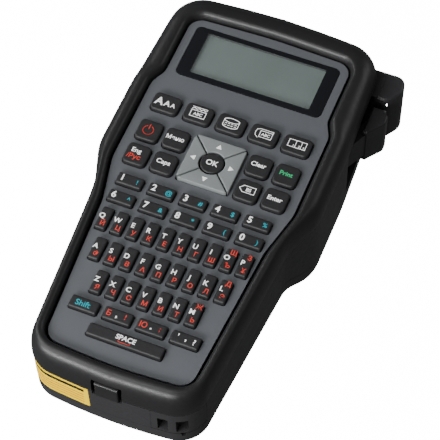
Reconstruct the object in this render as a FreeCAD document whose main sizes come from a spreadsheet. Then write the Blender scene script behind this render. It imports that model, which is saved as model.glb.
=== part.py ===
import FreeCAD, Part
import Sketcher
import math
import os

# A handheld label maker. The face looks along +Z, the display end is towards +Y and the flat back of
# the head lies in the plane Z = 0, with the origin at its centre. Places along the length are given as
# stations, and the origin lies at origin_station.

FAR = 150.0

doc = FreeCAD.newDocument("label_maker")
sheet = doc.addObject("Spreadsheet::Sheet", "Sizes")

DIMENSIONS = [
    # levels above the rest face
    ("split_level", 39.5), ("crest_level", 54.2), ("ledge_level", 49.3), ("cavity_top", 48.5),
    ("deck_underside", 41.0), ("deck_top", 43.0), ("board_level", 44.0), ("board_thickness", 1.6),
    ("mat_thickness", 2.8), ("plate_thickness", 1.6), ("window_level", 49.6), ("window_thickness", 1.4),
    ("screen_thickness", 3.7), ("key_base", 49.4), ("key_height", 3.6), ("key_edge", 0.6),
    # plan of the housings, half widths at named stations along the length
    ("origin_station", 56.0),
    ("body_top", 110.2), ("body_end", -109.2), ("crown_drop", 4.0), ("heel_rise", 4.0),
    ("top_half", 52.3), ("head_half", 55.3), ("shoulder_half", 55.3), ("neck_half", 47.6),
    ("heel_half", 40.9), ("head_station", 45.0), ("shoulder_station", 8.0), ("neck_station", -13.0),
    ("head_corner", 17.5), ("heel_corner", 15.0), ("waist_radius", 26.0), ("crown_radius", 250.0),
    # plan of the faceplate
    ("plate_top", 92.8), ("plate_end", -98.0), ("plate_crown", 1.6), ("plate_bow", 2.2),
    ("plate_top_half", 41.0), ("plate_flare_top", 56.5), ("plate_flare_end", 48.5),
    ("plate_half", 44.7), ("plate_waist_top", 2.0), ("plate_waist_end", -21.0),
    ("plate_neck_half", 39.4), ("plate_heel_half", 34.3), ("plate_corner", 7.0), ("plate_groove", 0.9),
    ("plate_ledge", 1.0), ("key_gap", 0.35),
    # housings
    ("front_wall", 3.0), ("roll_radius", 4.0), ("tuck_radius", 1.6), ("rim_radius", 0.7),
    ("side_inset", 0.4), ("side_wall", 2.2), ("tub_inset", 3.5), ("tub_wall", 2.0),
    ("lip_height", 7.0), ("lip_gap", 0.2), ("cover_thickness", 2.0), ("heel_level", 15.5),
    ("neck_level", 9.5), ("neck_foot_station", -12.5), ("head_foot_station", 1.0),
    # key sizes and places
    ("letter_pitch", 7.6), ("letter_width", 5.5), ("letter_depth", 11.9), ("small_corner", 0.9),
    ("digit_pitch", 15.7), ("digit_width", 12.8), ("digit_depth", 6.2),
    ("function_pitch", 16.45), ("function_width", 13.8), ("function_depth", 10.2), ("big_corner", 2.4),
    ("side_key", 11.5), ("inner_column", 20.7), ("outer_column", 34.3),
    ("shift_pitch", 16.1), ("shift_width", 13.6), ("shift_depth", 6.4),
    ("space_width", 36.0), ("space_depth", 6.2),
    ("function_row", 37.9), ("power_row", 20.7), ("caps_row", 6.3), ("digit_row_one", -8.3),
    ("digit_row_two", -18.2), ("q_row", -31.0), ("a_row", -46.8), ("z_row", -62.4),
    ("shift_row", -75.4), ("space_row", -85.4),
    ("nav_row", 14.2), ("nav_size", 26.0), ("nav_groove", 0.9), ("confirm_radius", 5.7),
    # display
    ("window_row", 72.3), ("window_width", 74.0), ("window_depth", 30.8), ("window_corner", 3.0),
    ("screen_width", 68.0), ("screen_depth", 28.0),
    # printing mechanism
    ("platen_x", 43.5), ("platen_y", 80.0), ("platen_radius", 4.0), ("shaft_radius", 1.5),
    ("bearing_gap", 0.06), ("motor_x", 37.0), ("motor_y", 52.0), ("motor_radius", 8.5),
    ("motor_shaft", 1.0), ("pinion_pitch_radius", 3.2), ("platen_pitch_radius", 6.0),
    ("gear_level", 37.0), ("gear_width", 3.0), ("gear_backlash", 0.12), ("spool_x", -10.0),
    ("spool_y", 61.0), ("spool_radius", 25.0), ("spool_hub", 6.0),
    # cutter lever
    ("lever_x", 48.0), ("lever_y", 55.5), ("trunnion_radius", 2.0), ("lever_base", 15.0),
    ("lever_top", 38.0), ("blade_thickness", 0.8),
    # tape exit
    ("guide_base", 9.0), ("guide_top", 39.0), ("guide_foot", 86.8), ("guide_end", 103.6),
    ("slot_inner", 56.4), ("slot_outer", 61.0), ("slot_margin", 2.0),
    # strap eyelet and latch
    ("eyelet_side", 20.0), ("eyelet_back", -94.0), ("eyelet_base", 23.0), ("eyelet_top", 39.4),
    ("mouth_height", 10.0),
    ("latch_half", 5.6), ("latch_window_half", 7.2), ("latch_window_top", 49.2),
    # screws
    ("screw_radius", 1.2), ("screw_head", 2.1), ("boss_radius", 3.0), ("screw_end", 47.8),
]

for row, (alias, value) in enumerate(DIMENSIONS, start=1):
    sheet.set(f"A{row}", alias.replace("_", " "))
    sheet.set(f"B{row}", str(value))
    sheet.setAlias(f"B{row}", alias)
doc.recompute()


def size(alias):
    """The number in the sheet's cell of that alias."""
    return float(sheet.get(alias))


def vec(x, y, z=0.0):
    return FreeCAD.Vector(x, y, z)


# ---------------------------------------------------------------- outlines

def mirrored(half):
    """A closed outline from its right half, given from the display end down as (x, y, radius)."""
    left = [(-x, y, radius) for x, y, radius in reversed(half) if x > 0]
    return half + left


def grown(outline, distance):
    """The clockwise outline moved outwards by a distance, or inwards when it is negative."""
    result = []
    for index, (x, y, radius) in enumerate(outline):
        before = outline[index - 1]
        after = outline[(index + 1) % len(outline)]
        normals = []
        for start, end in ((before, (x, y)), ((x, y), after)):
            along = vec(end[0] - start[0], end[1] - start[1]).normalize()
            normals.append(vec(-along.y, along.x))
        shift = (normals[0] + normals[1]) * (distance / (1 + normals[0].dot(normals[1])))
        turn = normals[0].cross(normals[1]).z
        rounded = radius + distance if turn < 0 else radius - distance
        result.append((x + shift.x, y + shift.y, max(rounded, 0.3)))
    return result


def rounded_edges(outline):
    """Lines and tangent arcs of a closed outline; a radius of zero leaves a sharp corner."""
    corners = []
    for index, (x, y, radius) in enumerate(outline):
        corner = vec(x, y)
        back = (vec(*outline[index - 1][:2]) - corner).normalize()
        ahead = (vec(*outline[(index + 1) % len(outline)][:2]) - corner).normalize()
        half_angle = back.getAngle(ahead) / 2
        if radius == 0:
            corners.append((corner, None, corner))
            continue
        reach = radius / math.tan(half_angle)
        inward = (back + ahead).normalize()
        middle = corner + inward * (radius / math.sin(half_angle) - radius)
        corners.append((corner + back * reach, middle, corner + ahead * reach))
    edges = []
    for index, (start, middle, end) in enumerate(corners):
        if middle is not None:
            edges.append(Part.Arc(start, middle, end))
        edges.append(Part.LineSegment(end, corners[(index + 1) % len(corners)][0]))
    return edges


def box_outline(x_low, x_high, y_low, y_high, radius=0.0):
    return [(x_low, y_high, radius), (x_high, y_high, radius),
            (x_high, y_low, radius), (x_low, y_low, radius)]


def centred_outline(x, y, width, depth, radius=0.0):
    return box_outline(x - width / 2, x + width / 2, y - depth / 2, y + depth / 2, radius)


BODY = mirrored([
    (0, size("body_top"), size("crown_radius")),
    (size("top_half"), size("body_top") - size("crown_drop"), size("head_corner")),
    (size("head_half"), size("head_station"), 120),
    (size("shoulder_half"), size("shoulder_station"), size("waist_radius")),
    (size("neck_half"), size("neck_station"), size("waist_radius")),
    (size("heel_half"), size("body_end") + size("heel_rise"), size("heel_corner")),
    (0, size("body_end"), size("crown_radius")),
])

PLATE = mirrored([
    (0, size("plate_top"), size("crown_radius")),
    (size("plate_top_half"), size("plate_top") - size("plate_crown"), size("plate_corner")),
    (size("plate_top_half"), size("plate_flare_top"), 8),
    (size("plate_half"), size("plate_flare_end"), 8),
    (size("plate_half"), size("plate_waist_top"), 22),
    (size("plate_neck_half"), size("plate_waist_end"), 22),
    (size("plate_heel_half"), size("plate_end") + size("plate_bow"), size("plate_corner")),
    (0, size("plate_end"), size("crown_radius")),
])


def back_profile(lift, far_level):
    """Side view of the back, lifted by an amount and closed at a far level above or below it."""
    slope = (size("heel_level") - size("neck_level")) / (size("body_end") - size("neck_foot_station"))
    far_heel = size("heel_level") - slope * (FAR + size("body_end"))
    return [
        (-FAR, far_heel + lift, 0),
        (size("neck_foot_station"), size("neck_level") + lift, 18),
        (size("head_foot_station"), lift, 14),
        (FAR, lift, 0),
        (FAR, far_level, 0),
        (-FAR, far_level, 0),
    ]


# ---------------------------------------------------------------- feature helpers

def new_body(label, x="0", y="0", z="0"):
    """A body whose place is bound to expressions of the sheet."""
    body = doc.addObject("PartDesign::Body", label)
    body.Label = label
    body.setExpression(".Placement.Base.x", x)
    body.setExpression(".Placement.Base.y", f"{y} - Sizes.origin_station")
    body.setExpression(".Placement.Base.z", z)
    return body


def sketch(body, edges, plane="XY_Plane", lift=None):
    """A sketch on one of the body's origin planes, lifted off it by an expression."""
    support = next(item for item in body.Origin.OriginFeatures if item.Role == plane)
    drawing = body.newObject("Sketcher::SketchObject", "outline")
    drawing.AttachmentSupport = [(support, "")]
    drawing.MapMode = "FlatFace"
    if lift:
        drawing.setExpression(".AttachmentOffset.Base.z", lift)
    drawing.addGeometry(edges, False)
    return drawing


def rectangle(body, width, depth):
    """A rectangle centred on the body's own origin, with its two sizes bound to the sheet."""
    drawing = sketch(body, [])
    corners = [vec(-1, -1), vec(1, -1), vec(1, 1), vec(-1, 1)]
    drawing.addGeometry([Part.LineSegment(corners[n], corners[(n + 1) % 4]) for n in range(4)], False)
    for side in range(4):
        drawing.addConstraint(Sketcher.Constraint("Coincident", side, 2, (side + 1) % 4, 1))
        drawing.addConstraint(Sketcher.Constraint(("Horizontal", "Vertical")[side % 2], side))
    drawing.addConstraint(Sketcher.Constraint("Symmetric", 0, 1, 2, 1, -1, 1))
    drawing.addConstraint(Sketcher.Constraint("DistanceX", 0, 1, 0, 2, 2.0))
    drawing.renameConstraint(drawing.ConstraintCount - 1, "width")
    drawing.addConstraint(Sketcher.Constraint("DistanceY", 1, 1, 1, 2, 2.0))
    drawing.renameConstraint(drawing.ConstraintCount - 1, "depth")
    drawing.setExpression("Constraints.width", width)
    drawing.setExpression("Constraints.depth", depth)
    return drawing


def finish_feature(body, feature):
    body.Tip = feature
    doc.recompute()
    if "Invalid" in feature.State or body.Shape.isNull():
        raise RuntimeError(f"{body.Label}: {feature.Name} failed")
    return feature


def pad(body, drawing, length, midplane=False):
    feature = body.newObject("PartDesign::Pad", "pad")
    feature.Profile = drawing
    feature.Midplane = midplane
    feature.setExpression("Length", length)
    return finish_feature(body, feature)


def pocket(body, drawing, length, upward=True, midplane=False):
    """Cuts along the sketch's normal when upward, and checks that it took material away."""
    volume = body.Shape.Volume
    feature = body.newObject("PartDesign::Pocket", "pocket")
    feature.Profile = drawing
    feature.Reversed = upward
    feature.Midplane = midplane
    feature.setExpression("Length", length)
    finish_feature(body, feature)
    if body.Shape.Volume > volume - 0.01:
        raise RuntimeError(f"{body.Label}: {feature.Name} cut nothing")
    return feature


def fillet(body, radius, wanted):
    """Rounds the edges of the body's last feature that the test picks."""
    base = body.Tip
    picked = [f"Edge{n}" for n, edge in enumerate(base.Shape.Edges, start=1) if wanted(edge)]
    feature = body.newObject("PartDesign::Fillet", "fillet")
    feature.Base = (base, picked)
    feature.setExpression("Radius", radius)
    return finish_feature(body, feature)


def upright(edge):
    box = edge.BoundBox
    return box.ZLength > 0.5 and box.XLength < 0.01 and box.YLength < 0.01


def level_edge(level):
    """A test for the edges that lie in one level plane of the body."""
    return lambda edge: edge.BoundBox.ZLength < 1e-3 and abs(edge.BoundBox.ZMin - level) < 1e-3


def circle(x, y, radius):
    return [Part.Circle(vec(x, y), vec(0, 0, 1), radius)]


def solid_plate(label, outline, base, thickness):
    """A flat piece of one outline, padded up from its base."""
    body = new_body(label, z=base)
    pad(body, sketch(body, rounded_edges(outline)), thickness)
    return body


# ---------------------------------------------------------------- keys

NAMED_KEYS = [
    # label, x, y, width, depth, corner
    *[(name, f"{index - 2} * Sizes.function_pitch", "Sizes.function_row", "function_width",
       "function_depth", "big_corner")
      for index, name in enumerate(["font_key", "frame_key", "memory_key", "label_key", "preview_key"])],
    *[(name, f"{side} * Sizes.{column}", f"Sizes.{row}", "side_key", "side_key", "big_corner")
      for name, side, column, row in [
          ("power_key", -1, "outer_column", "power_row"), ("menu_key", -1, "inner_column", "power_row"),
          ("language_key", -1, "outer_column", "caps_row"), ("caps_key", -1, "inner_column", "caps_row"),
          ("clear_key", 1, "inner_column", "power_row"), ("print_key", 1, "outer_column", "power_row"),
          ("backspace_key", 1, "inner_column", "caps_row"), ("enter_key", 1, "outer_column", "caps_row")]],
    *[(f"digit_{(index + 1) % 10}_key", f"{index % 5 - 2} * Sizes.digit_pitch",
       f"Sizes.digit_row_{'two' if index > 4 else 'one'}", "digit_width", "digit_depth", "small_corner")
      for index in range(10)],
    *[(name, f"{index - 1.5} * Sizes.shift_pitch", "Sizes.shift_row", "shift_width", "shift_depth",
       "small_corner")
      for index, name in enumerate(["shift_key", "comma_key", "period_key", "question_key"])],
    ("space_key", "0", "Sizes.space_row", "space_width", "space_depth", "small_corner"),
]

LETTER_ROWS = [("q_row_keys", "q_row", 10), ("a_row_keys", "a_row", 9), ("z_row_keys", "z_row", 7)]


def build_named_key(label, x, y, width, depth, corner):
    body = new_body(label, x, y, "Sizes.key_base")
    pad(body, rectangle(body, f"Sizes.{width}", f"Sizes.{depth}"), "Sizes.key_height")
    fillet(body, f"Sizes.{corner}", upright)
    fillet(body, "Sizes.key_edge", level_edge(size("key_height")))
    return body


def build_letter_row(label, row, count):
    """One row of equal letter keys as separate solids, laid out by a pattern."""
    body = new_body(label, f"-{(count - 1) / 2} * Sizes.letter_pitch", f"Sizes.{row}", "Sizes.key_base")
    first = pad(body, rectangle(body, "Sizes.letter_width", "Sizes.letter_depth"), "Sizes.key_height")
    pattern = body.newObject("PartDesign::LinearPattern", "row")
    pattern.Originals = [first]
    pattern.Direction = (next(item for item in body.Origin.OriginFeatures if item.Role == "X_Axis"), [""])
    pattern.setExpression("Length", f"{count - 1} * Sizes.letter_pitch")
    pattern.Occurrences = count
    finish_feature(body, pattern)
    fillet(body, "Sizes.small_corner", upright)
    fillet(body, "Sizes.key_edge", level_edge(size("key_height")))
    return body


def build_nav_key(label, quarter_turns):
    """A quarter of the square pad, cut round the confirm key and parted by half a groove each side."""
    body = new_body(label, y="Sizes.nav_row", z="Sizes.key_base")
    body.Placement.Rotation = FreeCAD.Rotation(vec(0, 0, 1), -90 * quarter_turns)
    half = size("nav_size") / 2
    groove = size("nav_groove") / math.sqrt(2)
    near = 3.0
    wedge = [(groove - half, half, 1.0), (half - groove, half, 1.0),
             (near, near + groove, 0), (-near, near + groove, 0)]
    pad(body, sketch(body, rounded_edges(wedge)), "Sizes.key_height")
    hole = sketch(body, circle(0, 0, size("confirm_radius") + size("key_gap") * 1.5))
    pocket(body, hole, "Sizes.key_height")
    fillet(body, "Sizes.key_edge * 0.7", level_edge(size("key_height")))
    return body


def build_confirm_key():
    body = new_body("confirm_key", y="Sizes.nav_row", z="Sizes.key_base")
    pad(body, sketch(body, circle(0, 0, size("confirm_radius"))), "Sizes.key_height")
    fillet(body, "Sizes.key_edge", level_edge(size("key_height")))
    return body


# ---------------------------------------------------------------- face

def key_openings():
    """Outlines of every opening that the faceplate has for the keys, the pad and the display."""
    gap = size("key_gap")
    openings = []
    for _, x, y, width, depth, corner in NAMED_KEYS:
        factor, _, alias = x.partition(" * Sizes.")
        centre = float(factor) * (size(alias) if alias else 1)
        openings.append(centred_outline(centre, size(y.removeprefix("Sizes.")), size(width) + 2 * gap,
                                        size(depth) + 2 * gap, size(corner) + gap))
    for _, row, count in LETTER_ROWS:
        for index in range(count):
            centre = (index - (count - 1) / 2) * size("letter_pitch")
            openings.append(centred_outline(centre, size(row), size("letter_width") + 2 * gap,
                                            size("letter_depth") + 2 * gap, size("small_corner") + gap))
    pad_size = size("nav_size") + 2 * gap
    openings.append(centred_outline(0, size("nav_row"), pad_size, pad_size, 1.3))
    openings.append(centred_outline(0, size("window_row"), size("window_width"), size("window_depth"),
                                    size("window_corner")))
    return openings


def build_faceplate():
    body = solid_plate("faceplate", PLATE, "Sizes.ledge_level", "Sizes.plate_thickness")
    edges = [edge for opening in key_openings() for edge in rounded_edges(opening)]
    pocket(body, sketch(body, edges), "Sizes.plate_thickness")
    return body


def build_display():
    lens = new_body("display_window", y="Sizes.window_row", z="Sizes.window_level")
    pane = rectangle(lens, "Sizes.window_width - 0.4", "Sizes.window_depth - 0.4")
    pad(lens, pane, "Sizes.window_thickness")
    fillet(lens, "Sizes.window_corner - 0.2", upright)
    screen = new_body("lcd_module", y="Sizes.window_row", z="Sizes.board_level + Sizes.board_thickness")
    pad(screen, rectangle(screen, "Sizes.screen_width", "Sizes.screen_depth"), "Sizes.screen_thickness")
    return [lens, screen]


def build_board_and_mat():
    mat = mirrored([(42.8, 47, 3), (42.8, 2, 15), (37.6, -22, 15), (33.2, -82, 3), (24, -92, 3)])
    board = mirrored([(40, 92, 3), (44, 50, 20), (43, 0, 20), (37.2, -22, 15), (32.6, -82, 3), (24, -92, 3)])
    return [
        solid_plate("keypad_mat", mat, "Sizes.board_level + Sizes.board_thickness", "Sizes.mat_thickness"),
        solid_plate("main_board", board, "Sizes.board_level", "Sizes.board_thickness"),
    ]


# ---------------------------------------------------------------- housings

SCREW_PLACES = [(side * x, y) for side in (-1, 1) for x, y in ((45.1, 94.9), (48.6, 14.0), (35.0, -88.0))]


def lever_window():
    """Plan of the opening in the right wall of the rear housing for the lever and the tape."""
    return box_outline(44.5, FAR, 50.5, 99.5)


def build_front_housing():
    body = new_body("front_housing", z="Sizes.split_level")
    height = "Sizes.crest_level - Sizes.split_level"
    pad(body, sketch(body, rounded_edges(BODY)), height)
    fillet(body, "Sizes.roll_radius", level_edge(size("crest_level") - size("split_level")))
    fillet(body, "Sizes.tuck_radius", level_edge(0))
    cavity = grown(BODY, -size("front_wall"))
    pocket(body, sketch(body, rounded_edges(cavity)), "Sizes.cavity_top - Sizes.split_level")
    bosses = [edge for x, y in SCREW_PLACES for edge in circle(x, y, size("boss_radius"))]
    lift = "Sizes.deck_top - Sizes.split_level + 0.2"
    pad(body, sketch(body, bosses, lift=lift), "Sizes.cavity_top - Sizes.deck_top - 0.2")
    seat = sketch(body, rounded_edges(grown(PLATE, size("plate_groove"))),
                  lift="Sizes.ledge_level - Sizes.split_level")
    pocket(body, seat, "Sizes.crest_level - Sizes.ledge_level")
    pocket(body, sketch(body, rounded_edges(grown(PLATE, -size("plate_ledge")))), height)
    bores = [edge for x, y in SCREW_PLACES for edge in circle(x, y, size("screw_radius") + 0.05)]
    pocket(body, sketch(body, bores), "Sizes.screw_end - Sizes.split_level + 0.2")
    latch = box_outline(-size("latch_window_half"), size("latch_window_half"), -FAR, -100.0)
    pocket(body, sketch(body, rounded_edges(latch)), "Sizes.latch_window_top - Sizes.split_level")
    return body


def build_rear_housing():
    body = new_body("rear_housing")
    side = grown(BODY, -size("side_inset"))
    tub = grown(BODY, -size("tub_inset"))
    pad(body, sketch(body, rounded_edges(side)), "Sizes.split_level")
    shoulder = sketch(body, rounded_edges(tub), lift="Sizes.split_level")
    pad(body, shoulder, "Sizes.deck_top - Sizes.split_level")
    lower = grown(side, -size("side_wall"))
    pocket(body, sketch(body, rounded_edges(lower)), "Sizes.split_level - Sizes.tub_wall")
    upper = grown(tub, -size("tub_wall"))
    pocket(body, sketch(body, rounded_edges(upper)), "Sizes.deck_underside")
    below = back_profile(size("lip_height") + size("lip_gap"), -FAR)
    pocket(body, sketch(body, rounded_edges(below), "YZ_Plane"), "300", midplane=True)
    heads = [edge for x, y in SCREW_PLACES for edge in circle(x, y, size("screw_head") + 0.3)]
    pocket(body, sketch(body, heads), "Sizes.deck_underside")
    shanks = [edge for x, y in SCREW_PLACES for edge in circle(x, y, size("screw_radius") + 0.2)]
    pocket(body, sketch(body, shanks), "Sizes.deck_top")
    gap = size("bearing_gap")
    gear_x, gear_y = reduction_place()
    bearings = circle(size("platen_x"), size("platen_y"), size("shaft_radius") + gap)
    bearings += circle(gear_x, gear_y, size("shaft_radius") + gap)
    bearings += circle(size("lever_x"), size("lever_y"), size("trunnion_radius") + gap)
    pocket(body, sketch(body, bearings), "Sizes.deck_top")
    window = sketch(body, rounded_edges(lever_window()), lift="Sizes.guide_base - 1")
    pocket(body, window, "Sizes.deck_underside - Sizes.guide_base + 1")
    corner = box_outline(size("eyelet_side") - 0.1, FAR, -FAR, size("eyelet_back") + 0.1)
    pocket(body, sketch(body, rounded_edges(corner)), "Sizes.split_level")
    latch = box_outline(-size("latch_window_half"), size("latch_window_half"), -FAR, -100.0)
    pocket(body, sketch(body, rounded_edges(latch), lift="Sizes.split_level - Sizes.tub_wall - 0.2"), "10")
    return body


def build_rear_cover():
    """The back of the whole device as a shallow tray that follows the step of the side view."""
    body = new_body("rear_cover")
    side = grown(BODY, -size("side_inset"))
    start = sketch(body, rounded_edges(side))
    pad(body, start, "Sizes.split_level")
    above = back_profile(size("lip_height"), FAR)
    pocket(body, sketch(body, rounded_edges(above), "YZ_Plane"), "300", midplane=True)
    below = back_profile(0, -FAR)
    pocket(body, sketch(body, rounded_edges(below), "YZ_Plane"), "300", midplane=True)
    lift = size("cover_thickness")
    hollow_all = back_profile(lift, FAR)
    hollow_all = [(max(min(x, 105.0), -104.5), y, radius) for x, y, radius in hollow_all]
    pocket(body, sketch(body, rounded_edges(hollow_all), "YZ_Plane"), "2 * 35", midplane=True)
    head = box_outline(12.0, 94.0, lift, FAR)
    pocket(body, sketch(body, rounded_edges(head), "YZ_Plane"), "2 * 48", midplane=True)
    return body


def build_strap_eyelet():
    """Corner block of the lower wall with two square mouths that meet behind a bar."""
    body = new_body("strap_eyelet", z="Sizes.eyelet_base")
    height = "Sizes.eyelet_top - Sizes.eyelet_base"
    pad(body, sketch(body, rounded_edges(grown(BODY, -size("side_inset")))), height)
    rest = box_outline(-FAR, size("eyelet_side"), -FAR, FAR)
    pocket(body, sketch(body, rounded_edges(rest)), height)
    upper = box_outline(-FAR, FAR, size("eyelet_back"), FAR)
    pocket(body, sketch(body, rounded_edges(upper)), height)
    mouth_floor = "1"
    mouth_height = "Sizes.mouth_height"
    mouths = []
    for left in (23.0, 31.4):
        mouths += rounded_edges(box_outline(left, left + 4.8, -FAR, -99.0))
    pocket(body, sketch(body, mouths, lift=mouth_floor), mouth_height)
    channel = box_outline(23.0, 36.2, -101.5, -96.0)
    pocket(body, sketch(body, rounded_edges(channel), lift=mouth_floor), mouth_height)
    return body


# ---------------------------------------------------------------- mechanism

def reduction_radius():
    reach = math.hypot(size("platen_x") - size("motor_x"), size("platen_y") - size("motor_y"))
    return (reach - size("pinion_pitch_radius") - size("platen_pitch_radius")) / 2


def reduction_place():
    """Centre of the gear between the motor's pinion and the platen's gear."""
    reach = math.hypot(size("platen_x") - size("motor_x"), size("platen_y") - size("motor_y"))
    share = (size("pinion_pitch_radius") + reduction_radius()) / reach
    return (size("motor_x") + share * (size("platen_x") - size("motor_x")),
            size("motor_y") + share * (size("platen_y") - size("motor_y")))


def toothed(body, radius):
    """Cuts the gaps between the teeth into a disc that stands on the body's own origin."""
    teeth = round(radius * 4)
    depth = 0.8
    width = 0.8
    notch = box_outline(radius - depth, radius + 1, -width / 2, width / 2)
    cut = pocket(body, sketch(body, rounded_edges(notch)), "Sizes.gear_width")
    pattern = body.newObject("PartDesign::PolarPattern", "teeth")
    pattern.Originals = [cut]
    pattern.Axis = (next(item for item in body.Origin.OriginFeatures if item.Role == "Z_Axis"), [""])
    pattern.Angle = 360
    pattern.Occurrences = teeth
    finish_feature(body, pattern)


def build_gear(label, x, y, pitch_radius, bore):
    body = new_body(label, f"{x}", f"{y}", "Sizes.gear_level")
    radius = pitch_radius - size("gear_backlash")
    pad(body, sketch(body, circle(0, 0, radius)), "Sizes.gear_width")
    toothed(body, radius)
    if bore:
        pocket(body, sketch(body, circle(0, 0, bore)), "Sizes.gear_width")
    else:
        lift = "Sizes.gear_width"
        pad(body, sketch(body, circle(0, 0, size("shaft_radius")), lift=lift), "2.8")
    return body


def build_gear_train():
    gear_x, gear_y = reduction_place()
    return [
        build_gear("motor_pinion", size("motor_x"), size("motor_y"), size("pinion_pitch_radius"),
                   size("motor_shaft")),
        build_gear("reduction_gear", gear_x, gear_y, reduction_radius(), None),
        build_gear("platen_gear", size("platen_x"), size("platen_y"), size("platen_pitch_radius"),
                   size("shaft_radius")),
    ]


def build_platen_roller():
    body = new_body("platen_roller", "Sizes.platen_x", "Sizes.platen_y", "4")
    pad(body, sketch(body, circle(0, 0, size("platen_radius"))), "27")
    pad(body, sketch(body, circle(0, 0, size("shaft_radius")), lift="27"), "Sizes.deck_top - 31 - 0.2")
    return body


def build_motor():
    body = new_body("drive_motor", "Sizes.motor_x", "Sizes.motor_y", "12")
    pad(body, sketch(body, circle(0, 0, size("motor_radius"))), "24")
    fillet(body, "0.8", level_edge(0))
    pad(body, sketch(body, circle(0, 0, size("motor_shaft")), lift="24"), "4.4")
    return body


def build_cassette():
    """Tape case, open at its right end where the tape leaves, and the spool that turns inside it."""
    case = new_body("tape_cassette", z="3")
    pad(case, sketch(case, rounded_edges(box_outline(-45.0, 27.0, 31.0, 93.0, 3.0))), "28")
    room = sketch(case, circle(size("spool_x"), size("spool_y"), size("spool_radius") + 1.5), lift="1.6")
    pocket(case, room, "24.8")
    mouth = box_outline(size("spool_x"), FAR, 80.0, 85.5)
    pocket(case, sketch(case, rounded_edges(mouth), lift="1.6"), "24.8")
    spool = new_body("tape_spool", "Sizes.spool_x", "Sizes.spool_y", "5")
    pad(spool, sketch(spool, circle(0, 0, size("spool_radius"))), "24")
    pocket(spool, sketch(spool, circle(0, 0, size("spool_hub"))), "24")
    return [case, spool]


def build_print_head():
    body = new_body("print_head", z="5")
    pad(body, sketch(body, rounded_edges(box_outline(36.4, 38.8, 74.0, 86.0))), "31")
    post = sketch(body, rounded_edges(box_outline(34.0, 36.8, 76.0, 84.0)), lift="20")
    pad(body, post, "Sizes.deck_underside - 25")
    return body


def build_battery():
    pack = new_body("battery_pack", y="-49", z="19")
    pad(pack, rectangle(pack, "60", "70"), "15")
    fillet(pack, "2", upright)
    contacts = new_body("battery_contacts", z="24")
    leaves = [edge for x in (-8, 0, 8) for edge in rounded_edges(centred_outline(x, -13.3, 4.0, 1.2))]
    pad(contacts, sketch(contacts, leaves), "17")
    return [pack, contacts]


def build_cutter_lever():
    """Thumb lever that swings on its trunnion through the opening in the right wall."""
    body = new_body("cutter_lever", z="Sizes.lever_base")
    paddle = [(55.4, 82.3, 0), (61.0, 82.3, 2.0), (64.3, 79.3, 2.5), (64.4, 74.8, 3.0), (58.0, 66.4, 0),
              (55.4, 66.4, 0)]
    pad(body, sketch(body, rounded_edges(paddle)), "Sizes.lever_top - Sizes.lever_base")
    fillet(body, "1.2", level_edge(size("lever_top") - size("lever_base")))
    arm = [(56.0, 75.3, 0), (57.8, 75.3, 0), (57.8, 67.0, 2.0), (51.0, 53.4, 2.0), (46.0, 53.4, 2.0),
           (46.0, 58.0, 2.0)]
    pad(body, sketch(body, rounded_edges(arm), lift="4"), "17")
    trunnion = circle(size("lever_x"), size("lever_y"), size("trunnion_radius"))
    pad(body, sketch(body, trunnion), "Sizes.deck_top - Sizes.lever_base - 0.2")
    return body


def build_cutter_blade():
    body = new_body("cutter_blade", z="Sizes.lever_base + 1")
    edge = box_outline(60.2, 62.0, 82.3, 82.3 + size("blade_thickness"))
    pad(body, sketch(body, rounded_edges(edge)), "20")
    return body


def build_tape_exit_guide():
    body = new_body("tape_exit_guide", z="Sizes.guide_base")
    end = size("guide_end")
    foot = size("guide_foot")
    block = [(44.0, end, 0), (64.6, end, 5.0), (66.8, 95.0, 8.0), (61.5, foot, 5.0), (44.0, foot, 0)]
    height = "Sizes.guide_top - Sizes.guide_base"
    pad(body, sketch(body, rounded_edges(block)), height)
    fillet(body, "2.0", level_edge(size("guide_top") - size("guide_base")))
    pocket(body, sketch(body, rounded_edges(grown(BODY, 0.1))), height)
    neck = box_outline(50.6, 56.0, foot, 99.4)
    pad(body, sketch(body, rounded_edges(neck), lift="0.2"), "Sizes.split_level - Sizes.guide_base - 0.4")
    slot = box_outline(size("slot_inner"), size("slot_outer"), foot - 1, end + 1)
    slot_height = "Sizes.guide_top - Sizes.guide_base - 2 * Sizes.slot_margin - 1"
    pocket(body, sketch(body, rounded_edges(slot), lift="Sizes.slot_margin"), slot_height)
    return body


def build_cover_latch():
    body = new_body("cover_latch", z="Sizes.split_level")
    half = size("latch_half")
    tab = box_outline(-half, half, -108.0, -101.9, 0)
    pad(body, sketch(body, rounded_edges(tab), lift="-2.0"), "10.8")
    fillet(body, "0.8", lambda edge: edge.BoundBox.YMax < -107.9)
    leaf = box_outline(-half, half, -103.9, -101.9)
    pad(body, sketch(body, rounded_edges(leaf), lift="-6.5"), "8")
    return body


def build_case_screws():
    body = new_body("case_screws", z="Sizes.deck_underside - 1.6")
    heads = [edge for x, y in SCREW_PLACES for edge in circle(x, y, size("screw_head"))]
    pad(body, sketch(body, heads), "1.6")
    shanks = [edge for x, y in SCREW_PLACES for edge in circle(x, y, size("screw_radius"))]
    pad(body, sketch(body, shanks, lift="1.6"), "Sizes.screw_end - Sizes.deck_underside")
    return body


# ---------------------------------------------------------------- assembly and output

def build_all():
    pieces = [build_named_key(*key) for key in NAMED_KEYS]
    pieces += [build_letter_row(*row) for row in LETTER_ROWS]
    pieces += [build_nav_key(f"nav_{name}_key", turns)
               for turns, name in enumerate(["up", "right", "down", "left"])]
    pieces += [build_confirm_key(), build_faceplate(), build_front_housing(), build_rear_housing()]
    pieces += [build_rear_cover(), build_strap_eyelet(), build_platen_roller(), build_motor()]
    pieces += [build_print_head(), build_cutter_lever(), build_cutter_blade(), build_tape_exit_guide()]
    pieces += [build_cover_latch(), build_case_screws()]
    for group in (build_display, build_board_and_mat, build_gear_train, build_cassette, build_battery):
        pieces += group()
    return pieces


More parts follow.
